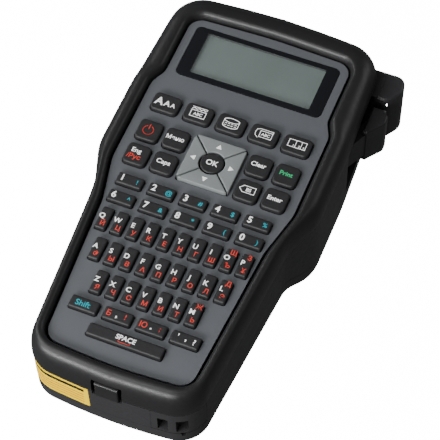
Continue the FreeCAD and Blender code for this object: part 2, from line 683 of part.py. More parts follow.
def export_all(pieces):
    for item in doc.Objects:
        if "Invalid" in item.State or "Error" in item.State:
            raise RuntimeError(f"{item.Label} failed: {item.State}")
    os.makedirs("parts", exist_ok=True)
    for piece in pieces:
        if piece.Shape.isNull() or not piece.Shape.isValid():
            raise RuntimeError(f"{piece.Label} has no valid shape")
        piece.Shape.exportStep(f"parts/{piece.Label}.step")


parts = build_all()
doc.recompute()
export_all(parts)
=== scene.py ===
import math

import bmesh
import bpy
from mathutils import Matrix, Vector


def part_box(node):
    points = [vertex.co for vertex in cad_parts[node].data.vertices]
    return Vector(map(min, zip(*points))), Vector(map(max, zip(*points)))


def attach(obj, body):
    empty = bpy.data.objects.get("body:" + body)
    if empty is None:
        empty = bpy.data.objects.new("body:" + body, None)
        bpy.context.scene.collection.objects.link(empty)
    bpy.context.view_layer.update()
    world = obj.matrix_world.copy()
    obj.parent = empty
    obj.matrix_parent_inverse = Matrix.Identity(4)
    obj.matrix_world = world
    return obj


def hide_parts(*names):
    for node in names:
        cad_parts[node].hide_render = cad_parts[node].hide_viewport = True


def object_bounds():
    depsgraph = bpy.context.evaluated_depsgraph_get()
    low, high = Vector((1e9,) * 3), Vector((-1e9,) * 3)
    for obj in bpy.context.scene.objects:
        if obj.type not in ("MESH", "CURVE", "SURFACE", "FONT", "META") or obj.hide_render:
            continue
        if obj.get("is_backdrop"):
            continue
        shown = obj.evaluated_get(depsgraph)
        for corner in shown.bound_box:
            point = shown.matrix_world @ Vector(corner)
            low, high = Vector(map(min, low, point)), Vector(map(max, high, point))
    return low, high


# Looks of a handheld label maker. Lengths in the tables below are millimetres in the row frame, and
# places along the device are given as stations, which lie ORIGIN_STATION above the frame's Y.

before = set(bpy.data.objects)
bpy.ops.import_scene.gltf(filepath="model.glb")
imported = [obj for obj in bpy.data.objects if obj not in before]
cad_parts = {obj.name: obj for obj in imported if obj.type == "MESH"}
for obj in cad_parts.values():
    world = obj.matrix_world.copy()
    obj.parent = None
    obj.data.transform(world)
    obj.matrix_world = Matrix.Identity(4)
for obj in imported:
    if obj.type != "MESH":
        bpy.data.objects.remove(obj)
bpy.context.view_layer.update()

MM = 0.001
ORIGIN_STATION = 56.0


# ---------------------------------------------------------------- materials

def node_tree(name):
    material = bpy.data.materials.new(name)
    material.use_nodes = True
    tree = material.node_tree
    tree.nodes.clear()
    output = tree.nodes.new("ShaderNodeOutputMaterial")
    shader = tree.nodes.new("ShaderNodeBsdfPrincipled")
    tree.links.new(shader.outputs["BSDF"], output.inputs["Surface"])
    return material, tree, shader


def noise(tree, scale, detail=3.0, rough=0.5, stretch=(1, 1, 1)):
    """A noise texture in object space; scale is in features per metre."""
    coords = tree.nodes.new("ShaderNodeTexCoord")
    mapping = tree.nodes.new("ShaderNodeMapping")
    mapping.inputs["Scale"].default_value = stretch
    texture = tree.nodes.new("ShaderNodeTexNoise")
    texture.inputs["Scale"].default_value = scale
    texture.inputs["Detail"].default_value = detail
    texture.inputs["Roughness"].default_value = rough
    tree.links.new(coords.outputs["Object"], mapping.inputs["Vector"])
    tree.links.new(mapping.outputs["Vector"], texture.inputs["Vector"])
    return texture.outputs["Fac"]


def ramp(tree, source, stops):
    node = tree.nodes.new("ShaderNodeValToRGB")
    elements = node.color_ramp.elements
    while len(elements) < len(stops):
        elements.new(0.5)
    for element, (place, colour) in zip(elements, stops):
        element.position = place
        element.color = (*colour, 1.0)
    tree.links.new(source, node.inputs["Fac"])
    return node.outputs["Color"]


def remap(tree, source, low, high):
    node = tree.nodes.new("ShaderNodeMapRange")
    node.inputs["From Min"].default_value = 0.3
    node.inputs["From Max"].default_value = 0.7
    node.inputs["To Min"].default_value = low
    node.inputs["To Max"].default_value = high
    tree.links.new(source, node.inputs["Value"])
    return node.outputs["Result"]


def bump(tree, shader, source, depth, under=None):
    node = tree.nodes.new("ShaderNodeBump")
    node.inputs["Strength"].default_value = 1.0
    node.inputs["Distance"].default_value = depth
    tree.links.new(source, node.inputs["Height"])
    if under:
        tree.links.new(under, node.inputs["Normal"])
    tree.links.new(node.outputs["Normal"], shader.inputs["Normal"])
    return node.outputs["Normal"]


def tinted(colour, factor):
    return tuple(channel * factor for channel in colour)


def moulded(name, colour, rough, spread=0.12, grain=5200, depth=6e-6, blotch=55, specular=0.5, metallic=0.0,
            coat=0.0, stretch=(1, 1, 1), wave=2.5e-5):
    """Moulded plastic, rubber or metal: mottled colour, uneven gloss, a fine grain and slight waviness."""
    material, tree, shader = node_tree(name)
    broad = noise(tree, blotch, 4.0, 0.6, stretch)
    fine = noise(tree, grain, 2.0, 0.6, stretch)
    middle = noise(tree, blotch * 9, 5.0, 0.65, stretch)
    mix = tree.nodes.new("ShaderNodeMix")
    mix.inputs["Factor"].default_value = 0.45
    tree.links.new(broad, mix.inputs["A"])
    tree.links.new(fine, mix.inputs["B"])
    stops = [(0.3, tinted(colour, 1 - spread)), (0.5, colour), (0.7, tinted(colour, 1 + spread))]
    tree.links.new(ramp(tree, mix.outputs["Result"], stops), shader.inputs["Base Color"])
    tree.links.new(remap(tree, middle, rough * 0.86, min(rough * 1.14, 1.0)), shader.inputs["Roughness"])
    swell = bump(tree, shader, broad, wave)
    bump(tree, shader, fine, depth, swell)
    shader.inputs["Specular IOR Level"].default_value = specular
    shader.inputs["Metallic"].default_value = metallic
    shader.inputs["Coat Weight"].default_value = coat
    shader.inputs["Coat Roughness"].default_value = 0.08
    return material


def ink(name, colour, rough=0.5, painted_glow=0.0):
    """Screen-printed ink with slightly uneven cover. A glow strength above zero adds painted light: emission
    in the ink's own colour that makes the print brighter than the lamps light it.
    """
    material = moulded(name, colour, rough, spread=0.07, grain=7000, depth=4e-6, blotch=400, wave=2e-6)
    shader = next(node for node in material.node_tree.nodes if node.type == "BSDF_PRINCIPLED")
    # painted light: the ink emits its own colour, so it shines brighter than its lighting gives
    if painted_glow:
        shader.inputs["Emission Color"].default_value = (*colour, 1.0)
        shader.inputs["Emission Strength"].default_value = painted_glow
    return material


def liquid_crystal():
    """Grey-green reflective display with a faint dot grid and an uneven polariser."""
    material, tree, shader = node_tree("screen_panel")
    coords = tree.nodes.new("ShaderNodeTexCoord")
    grid = tree.nodes.new("ShaderNodeTexBrick")
    grid.offset = 0.0
    for socket, value in (("Scale", 1.0), ("Mortar Size", 0.00004), ("Mortar Smooth", 0.4),
                          ("Brick Width", 0.00056), ("Row Height", 0.00056)):
        grid.inputs[socket].default_value = value
    grid.inputs["Color1"].default_value = (0.1, 0.135, 0.124, 1)
    grid.inputs["Color2"].default_value = (0.104, 0.139, 0.128, 1)
    grid.inputs["Mortar"].default_value = (0.094, 0.128, 0.117, 1)
    tree.links.new(coords.outputs["Object"], grid.inputs["Vector"])
    cloud = ramp(tree, noise(tree, 28, 3.0, 0.5), [(0.3, (0.9, 0.92, 0.9)), (0.7, (1.06, 1.06, 1.08))])
    blend = tree.nodes.new("ShaderNodeMix")
    blend.data_type = "RGBA"
    blend.blend_type = "MULTIPLY"
    blend.inputs["Factor"].default_value = 1.0
    tree.links.new(grid.outputs["Color"], blend.inputs["A"])
    tree.links.new(cloud, blend.inputs["B"])
    tree.links.new(blend.outputs["Result"], shader.inputs["Base Color"])
    tree.links.new(remap(tree, noise(tree, 900, 2.0), 0.42, 0.5), shader.inputs["Roughness"])
    bump(tree, shader, grid.outputs["Fac"], 4e-6)
    return material


def clear_pane():
    material, tree, shader = node_tree("window_glass")
    smear = noise(tree, 45, 4.0, 0.6)
    tree.links.new(ramp(tree, smear, [(0.3, (0.55, 0.6, 0.6)), (0.7, (0.7, 0.74, 0.74))]),
                   shader.inputs["Base Color"])
    tree.links.new(remap(tree, smear, 0.04, 0.09), shader.inputs["Roughness"])
    bump(tree, shader, smear, 8e-6)
    shader.inputs["Alpha"].default_value = 0.06
    return material


def label_paper():
    """Yellow label stock with a dull face and a painted glow: a small emission that makes the yellow brighter
    than the lamps light it.
    """
    material = ink("sticker_yellow", (0.95, 0.64, 0.0), 0.7, painted_glow=0.35)
    shader = next(node for node in material.node_tree.nodes if node.type == "BSDF_PRINCIPLED")
    shader.inputs["Specular IOR Level"].default_value = 0.05
    return material


RUBBER = moulded("front_shell", (0.0155, 0.0155, 0.0165), 0.40, grain=6500, depth=3e-6, specular=0.5)
CASE = moulded("rear_shell", (0.032, 0.032, 0.034), 0.5, grain=5200, depth=6e-6)
LEVER = moulded("lever_plastic", (0.022, 0.022, 0.024), 0.42, depth=5e-6)
GUIDE = moulded("exit_plastic", (0.030, 0.030, 0.033), 0.48, depth=6e-6)
PLATE = moulded("plate_paint", (0.105, 0.112, 0.122), 0.46, spread=0.05, grain=5600, depth=3.5e-6)
KEYS = moulded("key_rubber_fine", (0.0175, 0.0175, 0.019), 0.52, spread=0.18, grain=4500, depth=7e-6)
NAVPAD = moulded("nav_rubber_fine", (0.225, 0.245, 0.245), 0.5, spread=0.06, grain=4800, depth=5e-6)
BORDER = moulded("window_print", (0.0075, 0.0082, 0.0105), 0.16, grain=2500, depth=1e-6, coat=0.15)
# The white, red, teal and green inks carry a painted glow: a small emission that makes the legends brighter
# than the lamps light them.
WHITE = ink("ink_white", (0.9, 0.9, 0.9), painted_glow=0.5)
RED = ink("ink_red", (0.72, 0.048, 0.03), painted_glow=0.12)
TEAL = ink("ink_teal", (0.0, 0.38, 0.46), painted_glow=0.12)
GREEN = ink("ink_green", (0.03, 0.5, 0.19), painted_glow=0.12)
BLACK_INK = ink("ink_black", (0.012, 0.012, 0.012), 0.35)
ORANGE_INK = ink("ink_orange", (0.55, 0.1, 0.002))
SCREEN = liquid_crystal()
GLASS = clear_pane()
STICKER = label_paper()

NODE_FINISHES = {
    "rear_housing": CASE, "rear_cover": CASE, "strap_eyelet": CASE, "cover_latch": RUBBER,
    "cutter_lever": LEVER, "tape_exit_guide": GUIDE, "faceplate": PLATE, "lcd_module": SCREEN,
    "keypad_mat": moulded("mat_rubber_fine", (0.012, 0.012, 0.013), 0.6),
    "main_board": moulded("board_mask", (0.01, 0.09, 0.035), 0.35, grain=900, coat=0.4),
    "platen_roller": moulded("roller_rubber_fine", (0.03, 0.03, 0.03), 0.8, spread=0.2, depth=1.5e-5),
    "drive_motor": moulded("motor_can", (0.55, 0.55, 0.56), 0.28, metallic=1.0, stretch=(1, 1, 12)),
    "print_head": moulded("head_ceramic", (0.5, 0.49, 0.46), 0.35, metallic=0.8),
    "cutter_blade": moulded("ground_blade", (0.6, 0.6, 0.62), 0.2, metallic=1.0, stretch=(1, 1, 20)),
    "case_screws": moulded("screw_zinc", (0.4, 0.4, 0.41), 0.35, metallic=1.0),
    "motor_pinion": moulded("pinion_metal", (0.7, 0.5, 0.2), 0.3, metallic=1.0),
    "reduction_gear": moulded("gear_white", (0.72, 0.7, 0.62), 0.45),
    "platen_gear": moulded("gear_ivory", (0.7, 0.68, 0.6), 0.45),
    "tape_cassette": moulded("cassette_shell", (0.09, 0.09, 0.095), 0.4),
    "tape_spool": moulded("tape_film", (0.8, 0.8, 0.78), 0.4, stretch=(1, 1, 8)),
    "battery_pack": moulded("battery_sleeve", (0.02, 0.07, 0.28), 0.3, coat=0.5),
    "battery_contacts": moulded("spring_steel", (0.6, 0.6, 0.6), 0.25, metallic=1.0),
}
for node, finish in NODE_FINISHES.items():
    for material_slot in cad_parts[node].material_slots:
        material_slot.material = finish


# ---------------------------------------------------------------- mesh helpers

def mesh_piece(name, vertices, faces, material, body, smooth=40.0):
    """A mesh object of millimetre vertices that rides on a body."""
    mesh = bpy.data.meshes.new(name)
    mesh.from_pydata([Vector(v) * MM for v in vertices], [], faces)
    mesh.materials.append(material)
    tidy = bmesh.new()
    tidy.from_mesh(mesh)
    bmesh.ops.recalc_face_normals(tidy, faces=tidy.faces)
    tidy.to_mesh(mesh)
    tidy.free()
    piece = bpy.data.objects.new(name, mesh)
    bpy.context.collection.objects.link(piece)
    shade(piece, smooth)
    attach(piece, body)
    return piece


def shade(piece, angle):
    """Smooth shading that keeps edges sharper than the angle."""
    piece.data.polygons.foreach_set("use_smooth", [True] * len(piece.data.polygons))
    piece.data.set_sharp_from_angle(angle=math.radians(angle))


def mirrored(half):
    """A closed outline from its right half, given from the display end down as (x, station, radius)."""
    return half + [(-x, y, radius) for x, y, radius in reversed(half) if x > 0]


def grown(outline, distance):
    """The clockwise outline moved outwards by a distance, or inwards when it is negative."""
    result = []
    for index, (x, y, radius) in enumerate(outline):
        corner = Vector((x, y))
        before = (corner - Vector(outline[index - 1][:2])).normalized()
        after = (Vector(outline[(index + 1) % len(outline)][:2]) - corner).normalized()
        normals = [Vector((-before.y, before.x)), Vector((-after.y, after.x))]
        shift = (normals[0] + normals[1]) * (distance / (1 + normals[0].dot(normals[1])))
        turn = before.x * after.y - before.y * after.x
        rounded = radius + distance if turn < 0 else radius - distance
        result.append((x + shift.x, y + shift.y, max(rounded, 0.3)))
    return result


def traced(outline, arc_step=0.1):
    """Points along a closed outline whose corners are rounded by tangent arcs."""
    points = []
    for index, (x, y, radius) in enumerate(outline):
        corner = Vector((x, y))
        back = (Vector(outline[index - 1][:2]) - corner).normalized()
        ahead = (Vector(outline[(index + 1) % len(outline)][:2]) - corner).normalized()
        half = back.angle(ahead) / 2
        reach = radius / math.tan(half)
        centre = corner + (back + ahead).normalized() * (radius / math.sin(half))
        start = corner + back * reach - centre
        sweep = math.pi - 2 * half
        turn = math.copysign(sweep, back.x * ahead.y - back.y * ahead.x)
        steps = max(2, math.ceil(sweep / arc_step))
        for step in range(steps + 1):
            angle = -turn * step / steps
            spun = Matrix.Rotation(angle, 2) @ start
            points.append(centre + spun)
    return points


def spaced(points, count):
    """The closed polyline resampled at equal distances."""
    loop = points + points[:1]
    lengths = [0.0]
    for first, second in zip(loop, loop[1:]):
        lengths.append(lengths[-1] + (second - first).length)
    result = []
    segment = 0
    for index in range(count):
        target = lengths[-1] * index / count
        while lengths[segment + 1] < target:
            segment += 1
        run = lengths[segment + 1] - lengths[segment]
        share = (target - lengths[segment]) / run if run > 0 else 0.0
        result.append(loop[segment].lerp(loop[segment + 1], share))
    return result


def loop_normals(points):
    """Outward normals of a clockwise closed polyline."""
    result = []
    for index, point in enumerate(points):
        along = (points[(index + 1) % len(points)] - points[index - 1]).normalized()
        result.append(Vector((-along.y, along.x)))
    return result


def cast(origin, direction, loop):
    """Distance from a point to a closed polyline along a direction."""
    best = None
    for index, start in enumerate(loop):
        edge = loop[(index + 1) % len(loop)] - start
        cross = direction.x * edge.y - direction.y * edge.x
        if abs(cross) < 1e-12:
            continue
        gap = start - origin
        along = (gap.x * edge.y - gap.y * edge.x) / cross
        share = (gap.x * direction.y - gap.y * direction.x) / cross
        if along > 0 and -1e-6 <= share <= 1 + 1e-6 and (best is None or along < best):
            best = along
    return best


def at_frame(x, station, z):
    return (x, station - ORIGIN_STATION, z)


def loft(name, rings, material, body, closed_section=False, smooth=40.0):
    """Skins closed rings of equally many points; a closed section joins the last ring to the first."""
    count = len(rings[0])
    vertices = [point for ring in rings for point in ring]
    faces = []
    last = len(rings) if closed_section else len(rings) - 1
    for level in range(last):
        above = (level + 1) % len(rings)
        for index in range(count):
            after = (index + 1) % count
            faces.append((level * count + index, level * count + after,
                          above * count + after, above * count + index))
    if not closed_section:
        faces.append(tuple(range(count)))
        faces.append(tuple((len(rings) - 1) * count + index for index in range(count)))
    return mesh_piece(name, vertices, faces, material, body, smooth)


# ---------------------------------------------------------------- front housing

BODY_OUTLINE = mirrored([
    (0, 110.2, 250), (52.3, 106.2, 17.5), (55.3, 45, 120), (55.3, 8, 26), (47.6, -13, 26),
    (40.9, -105.2, 15), (0, -109.2, 250)])
PLATE_OUTLINE = mirrored([
    (0, 92.8, 250), (41, 91.2, 7), (41, 56.5, 8), (44.7, 48.5, 8), (44.7, 2, 22), (39.4, -21, 22),
    (34.3, -95.8, 7), (0, -98, 250)])
GROOVE = 1.3
RING_POINTS = 560
CREST = 54.2
SHOULDER = 42.0
ROLL_POWER = 2.2


def ring_section(width):
    """Section of the rim from its inner foot over the crest to the outer wall and back inside, as (x, z)."""
    section = [(-0.35, 49.4), (-0.1, 50.8), (0.15, 51.8), (0.4, 52.5), (0.8, 53.2), (1.3, 53.75),
               (1.9, 54.08)]
    top = 2.7
    steps = 26
    for step in range(steps + 1):
        angle = math.pi / 2 * step / steps
        across = math.sin(angle) ** (2 / ROLL_POWER)
        height = max(math.cos(angle), 0.0) ** (2 / ROLL_POWER)
        section.append((top + (width - top) * across, SHOULDER + (CREST - SHOULDER) * height))
    section += [(width, 41.2), (width - 0.15, 40.4), (width - 0.5, 39.9), (width - 1.1, 39.62),
                (width - 3.0, 39.6), (width - 3.0, 47.9), (0.0, 48.4)]
    return section


def build_front_ring():
    outer = spaced(traced(BODY_OUTLINE), RING_POINTS)
    inner = traced(grown(PLATE_OUTLINE, GROOVE), 0.06)
    normals = loop_normals(outer)
    widths = [cast(point, -normal, inner) for point, normal in zip(outer, normals)]
    for _ in range(3):
        widths = [(widths[i - 1] + widths[i] * 2 + widths[(i + 1) % RING_POINTS]) / 4
                  for i in range(RING_POINTS)]
    sections = [ring_section(width) for width in widths]
    rings = []
    for place in range(len(sections[0])):
        ring = []
        for point, normal, width, section in zip(outer, normals, widths, sections):
            across, height = section[place]
            spot = point + normal * (across - width)
            ring.append(at_frame(spot.x, spot.y, height))
        rings.append(ring)
    ring = loft("front_shell_rim", rings, RUBBER, "case", closed_section=True)
    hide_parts("front_housing")
    return ring


def cut(piece, corners_low, corners_high):
    """Boolean notch of a box given in millimetres, x, station and z."""
    x0, y0, z0 = corners_low
    x1, y1, z1 = corners_high
    mesh = bpy.data.meshes.new("notch")
    form = bmesh.new()
    bmesh.ops.create_cube(form, size=1.0)
    for vertex in form.verts:
        vertex.co = Vector((x1 if vertex.co.x > 0 else x0, (y1 if vertex.co.y > 0 else y0) - ORIGIN_STATION,
                            z1 if vertex.co.z > 0 else z0)) * MM
    form.to_mesh(mesh)
    form.free()
    cutter = bpy.data.objects.new("notch", mesh)
    bpy.context.collection.objects.link(cutter)
    modifier = piece.modifiers.new("notch", "BOOLEAN")
    modifier.operation = "DIFFERENCE"
    modifier.solver = "EXACT"
    modifier.object = cutter
    bpy.context.view_layer.update()
    graph = bpy.context.evaluated_depsgraph_get()
    result = bpy.data.meshes.new_from_object(piece.evaluated_get(graph))
    piece.modifiers.clear()
    piece.data = result
    bpy.data.objects.remove(cutter)


LATCH_NOTCH_LOW, LATCH_NOTCH_HIGH = (-7.2, -120, 30), (7.2, -103.4, 49.2)
rim = build_front_ring()
cut(rim, LATCH_NOTCH_LOW, LATCH_NOTCH_HIGH)
shade(rim, 40.0)


# ---------------------------------------------------------------- keys

def block(name, centre, width, depth, corner, low, high, edge, material, body, taper=0.12):
    """Keycaps over the centres, with round corners, slightly drawn-in sides and a rounded top edge."""
    vertices, faces = [], []
    for x, y in centre:
        rings = []
        arcs = 7
        layers = [(0.0, low), (taper, high - edge)]
        for step in range(1, 7):
            angle = math.pi / 2 * step / 6
            layers.append((taper + edge * (1 - math.cos(angle)), high - edge + edge * math.sin(angle)))
        layers.append((taper + edge + 0.5, high))
        for inset, z in layers:
            half_w, half_d = width / 2 - inset, depth / 2 - inset
            radius = max(corner - inset, 0.12)
            ring = []
            for sx, sy, first in ((1, 1, 0), (-1, 1, 90), (-1, -1, 180), (1, -1, 270)):
                for step in range(arcs):
                    angle = math.radians(first + 90 * step / (arcs - 1))
                    ring.append((x + sx * (half_w - radius) + radius * math.cos(angle),
                                 y + sy * (half_d - radius) + radius * math.sin(angle), z))
            rings.append(ring)
        start = len(vertices)
        count = len(rings[0])
        vertices += [point for ring in rings for point in ring]
        for level in range(len(rings) - 1):
            for index in range(count):
                after = (index + 1) % count
                base, above = start + level * count, start + (level + 1) * count
                faces.append((base + index, base + after, above + after, above + index))
        faces.append(tuple(start + index for index in reversed(range(count))))
        faces.append(tuple(start + (len(rings) - 1) * count + index for index in range(count)))
    return mesh_piece(name, vertices, faces, material, body, 50.0)


def node_box(node):
    """A node's lowest and highest corners in millimetres."""
    low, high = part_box(node)
    return low / MM, high / MM


CAP_SHARE = 0.729
INK_HALF = 0.012


def text_form(form, text, cap, x, y, z, bold):
    """Adds centred lettering of a cap height to a bmesh, as thin solid ink."""
    curve = bpy.data.curves.new("lettering", "FONT")
    curve.body = text
    curve.size = cap / CAP_SHARE
    curve.align_x = "CENTER"
    curve.offset = bold
    curve.extrude = INK_HALF
    curve.resolution_u = 4
    holder = bpy.data.objects.new("lettering", curve)
    bpy.context.collection.objects.link(holder)
    bpy.context.view_layer.update()
    mesh = bpy.data.meshes.new_from_object(holder.evaluated_get(bpy.context.evaluated_depsgraph_get()))
    mesh.transform(Matrix.Translation((x, y - cap / 2, z)))
    form.from_mesh(mesh)
    bpy.data.objects.remove(holder)
    bpy.data.curves.remove(curve)
    bpy.data.meshes.remove(mesh)


def stroke_form(form, points, thickness, z, closed=False):
    """Adds a line of thin ink bars along the points."""
    path = [Vector(p) for p in points]
    if closed:
        path.append(path[0])
    for start, end in zip(path, path[1:]):
        along = (end - start).normalized()
        side = Vector((-along.y, along.x)) * thickness / 2
        tip = along * thickness / 2
        base = [start - tip - side, end + tip - side, end + tip + side, start - tip + side]
        low = [form.verts.new((p.x, p.y, z - INK_HALF)) for p in base]
        high = [form.verts.new((p.x, p.y, z + INK_HALF)) for p in base]
        form.faces.new(high)
        form.faces.new(low[::-1])
        for index in range(4):
            after = (index + 1) % 4
            form.faces.new((low[index], low[after], high[after], high[index]))


def arc_points(x, y, radius_x, radius_y, start, end, steps=18):
    angles = [math.radians(start + (end - start) * n / steps) for n in range(steps + 1)]
    return [(x + radius_x * math.cos(a), y + radius_y * math.sin(a)) for a in angles]


def print_ink(name, material, body, draw):
    """One piece of ink on a body; draw fills a bmesh in millimetres."""
    form = bmesh.new()
    draw(form)
    mesh = bpy.data.meshes.new(name)
    form.to_mesh(mesh)
    form.free()
    mesh.transform(Matrix.Diagonal((MM, MM, MM, 1)))
    mesh.materials.clear()
    mesh.materials.append(material)
    for polygon in mesh.polygons:
        polygon.material_index = 0
    piece = bpy.data.objects.new(name, mesh)
    bpy.context.collection.objects.link(piece)
    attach(piece, body)
    return piece


BIG_CORNER, SMALL_CORNER = 2.4, 0.95
KEY_EDGE = 0.75
INK_LIFT = 0.014

BIG_KEYS = ["font_key", "frame_key", "memory_key", "label_key", "preview_key", "power_key", "menu_key",
            "language_key", "caps_key", "clear_key", "print_key", "backspace_key", "enter_key"]
SMALL_KEYS = [f"digit_{n}_key" for n in range(10)] + ["shift_key", "comma_key", "period_key", "question_key",
                                                      "space_key"]
key_centre = {}
for key in BIG_KEYS + SMALL_KEYS:
    low, high = node_box(key)
    centre = (low + high) / 2
    key_centre[key] = centre
    corner = BIG_CORNER if key in BIG_KEYS else SMALL_CORNER
    cap = block(f"{key}_cap", [(centre.x, centre.y)], high.x - low.x, high.y - low.y, corner,
                low.z, high.z, KEY_EDGE, KEYS, key)
    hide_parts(key)

LETTER_WIDTH, LETTER_DEPTH = 5.5, 11.9
letter_centres = {}
for row, count in (("q_row_keys", 10), ("a_row_keys", 9), ("z_row_keys", 7)):
    low, high = node_box(row)
    pitch = (high.x - low.x - LETTER_WIDTH) / (count - 1)
    centres = [(low.x + LETTER_WIDTH / 2 + pitch * n, (low.y + high.y) / 2) for n in range(count)]
    letter_centres[row] = centres
    caps = block(f"{row}_caps", centres, LETTER_WIDTH, LETTER_DEPTH, SMALL_CORNER, low.z, high.z,
                 KEY_EDGE, KEYS, row)
    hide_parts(row)

KEY_TOP = node_box("space_key")[1].z
INK_Z = KEY_TOP + INK_LIFT

WORDS = [
    # key, ink, text, cap height, x and y from the key's centre, boldness
    ("font_key", WHITE, "A", 4.3, -3.3, 0.3, 0.13),
    ("font_key", WHITE, "A", 3.1, 0.7, -0.1, 0.11),
    ("font_key", WHITE, "A", 2.3, 3.7, -0.4, 0.1),
    ("menu_key", WHITE, "Меню", 2.3, -0.4, 0.3, 0.06),
    ("language_key", WHITE, "Eng", 2.5, -0.8, 1.9, 0.06),
    ("language_key", RED, "/Рус", 2.5, -0.8, -1.7, 0.06),
    ("caps_key", WHITE, "Caps", 2.5, -0.3, 0.5, 0.06),
    ("clear_key", WHITE, "Clear", 2.4, -0.3, 0.6, 0.07),
    ("print_key", GREEN, "Print", 2.4, -0.3, 0.6, 0.07),
    ("enter_key", WHITE, "Enter", 2.4, -0.3, 0.4, 0.07),
    ("backspace_key", WHITE, "BS", 1.9, 0.5, 0.3, 0.05),
    ("shift_key", TEAL, "Shift", 2.9, -0.6, 0.0, 0.05),
    ("comma_key", RED, "Б", 2.8, -4.2, 0.1, 0.05),
    ("comma_key", WHITE, ",", 3.4, -0.4, 0.7, 0.1),
    ("comma_key", RED, "!", 2.6, 3.6, 0.4, 0.03),
    ("period_key", RED, "Ю", 2.8, -3.9, 0.1, 0.05),
    ("period_key", WHITE, ".", 3.4, -0.1, 0.7, 0.1),
    ("period_key", RED, ";", 2.6, 3.9, 0.6, 0.03),
    ("question_key", WHITE, "'", 2.8, -3.6, 0.3, 0.05),
    ("question_key", WHITE, ",", 3.2, 0.2, 0.9, 0.08),
    ("question_key", WHITE, "?", 2.8, 4.1, -0.1, 0.06),
    ("space_key", WHITE, "SPACE", 2.4, 0.0, 0.6, 0.07),
]
SHIFTED = "!@#$%^&*()"
for number in range(1, 11):
    digit = f"digit_{number % 10}_key"
    WORDS.append((digit, WHITE, str(number % 10), 3.4, -3.7, 0.5, 0.11))
    WORDS.append((digit, TEAL, SHIFTED[number - 1], 2.4, 3.7, 0.0, 0.05))

STROKES = [
    # key, ink, closed, thickness, points from the key's centre
    ("backspace_key", WHITE, True, 0.32, [(-3.9, 0.3), (-2.1, 2.1), (3.6, 2.1), (3.6, -1.5), (-2.1, -1.5)]),
    ("power_key", RED, False, 0.42, arc_points(-0.3, -0.2, 2.5, 2.5, 118, 422)),
    ("power_key", RED, False, 0.42, [(-0.3, 0.6), (-0.3, 3.1)]),
    ("space_key", RED, False, 0.3, [(-2.9, -1.2), (-2.9, -1.8), (2.6, -1.8), (2.6, -1.2)]),
    ("frame_key", WHITE, True, 0.32, [(-3.7, 1.2), (3.6, 1.2), (3.6, -2.4), (-3.7, -2.4)]),
    ("frame_key", WHITE, False, 0.3, [(-3.7, 1.9), (-2.6, 2.6), (-1.5, 1.9), (-0.4, 2.6), (0.7, 1.9),
                                      (1.8, 2.6), (2.9, 1.9), (3.6, 2.5)]),
    ("frame_key", WHITE, False, 0.28, [(-3.7, 3.1), (3.6, 3.1)]),
    ("memory_key", WHITE, True, 0.3, arc_points(0.0, 1.7, 3.7, 1.2, 0, 350, 24)),
    ("memory_key", WHITE, False, 0.3, [(-3.7, 1.7), (-3.7, -1.3)] + arc_points(0.0, -1.3, 3.7, 1.3, 180, 360)
     + [(3.7, 1.7)]),
    ("label_key", WHITE, True, 0.3, [(-1.9, 1.6), (4.0, 1.6), (4.0, -1.9), (-1.9, -1.9)]),
    ("label_key", WHITE, False, 0.3, [(-2.5, 2.6), (-3.8, 1.9), (-4.2, 0.2), (-3.8, -1.4), (-2.4, -2.5)]),
    ("label_key", WHITE, False, 0.3, [(-2.5, 2.6), (4.0, 2.6), (4.0, 1.6)]),
    ("preview_key", WHITE, True, 0.3, [(-4.2, 2.4), (4.3, 2.4), (4.3, -1.6), (-4.2, -1.6)]),
    ("preview_key", WHITE, False, 0.3, [(-0.7, 2.4), (-0.7, -1.6)]),
    ("preview_key", WHITE, False, 0.3, [(2.1, 2.4), (2.1, -1.6)]),
]
WORDS += [
    ("frame_key", WHITE, "ABC", 1.7, 0.0, -0.6, 0.04),
    ("label_key", WHITE, "ABC", 1.6, 1.0, -0.15, 0.04),
    ("preview_key", WHITE, "1", 1.2, -1.6, -0.6, 0.03),
    ("preview_key", WHITE, "2", 1.2, 1.2, -0.6, 0.03),
    ("preview_key", WHITE, "3", 1.2, 3.4, -0.6, 0.03),
]
for column in range(4):
    for line in range(2):
        x = -2.4 + 1.6 * column
        y = -0.2 - 1.1 * line
        STROKES.append(("memory_key", WHITE, False, 0.34, [(x - 0.35, y), (x + 0.35, y)]))


def print_key_legends():
    inks = {}
    for key, colour, *rest in WORDS:
        inks.setdefault((key, colour), []).append(("word", rest))
    for key, colour, *rest in STROKES:
        inks.setdefault((key, colour), []).append(("stroke", rest))
    for (key, colour), items in inks.items():
        centre = key_centre[key]

        def draw(form):
            for kind, values in items:
                if kind == "word":
                    text, cap, x, y, bold = values
                    text_form(form, text, cap, centre.x + x, centre.y + y, INK_Z, bold)
                else:
                    closed, thickness, points = values
                    moved = [(centre.x + x, centre.y + y) for x, y in points]
                    stroke_form(form, moved, thickness, INK_Z, closed)

        print_ink(f"{key}_{colour.name}", colour, key, draw)


LATIN_SPOT, CYRILLIC_SPOT, EXTRA_SPOT = (-1.25, 0.9), (0.45, -3.0), (0.9, 4.1)
LETTERS = {
    "q_row_keys": ("QWERTYUIOP", "ЙЦУКЕНГШЪХ", "        ЩЗ"),
    "a_row_keys": ("ASDFGHJKL", "ФЫВАПРОЛЭ", "        Д"),
    "z_row_keys": ("ZXCVBNM", "ЯЧСМИТЬ", "      Ж"),
}


def print_letter_legends():
    for row, (latin, cyrillic, extra) in LETTERS.items():
        def put(form, letters, spot, cap, bold):
            for (x, y), letter in zip(letter_centres[row], letters):
                if letter != " ":
                    text_form(form, letter, cap, x + spot[0], y + spot[1], INK_Z, bold)

        print_ink(f"{row}_ink_white", WHITE, row, lambda form: put(form, latin, LATIN_SPOT, 2.55, 0.085))

        def red(form):
            put(form, cyrillic, CYRILLIC_SPOT, 2.45, 0.06)
            put(form, extra, EXTRA_SPOT, 2.45, 0.06)

        print_ink(f"{row}_ink_red", RED, row, red)


print_key_legends()
print_letter_legends()


# ---------------------------------------------------------------- cursor pad

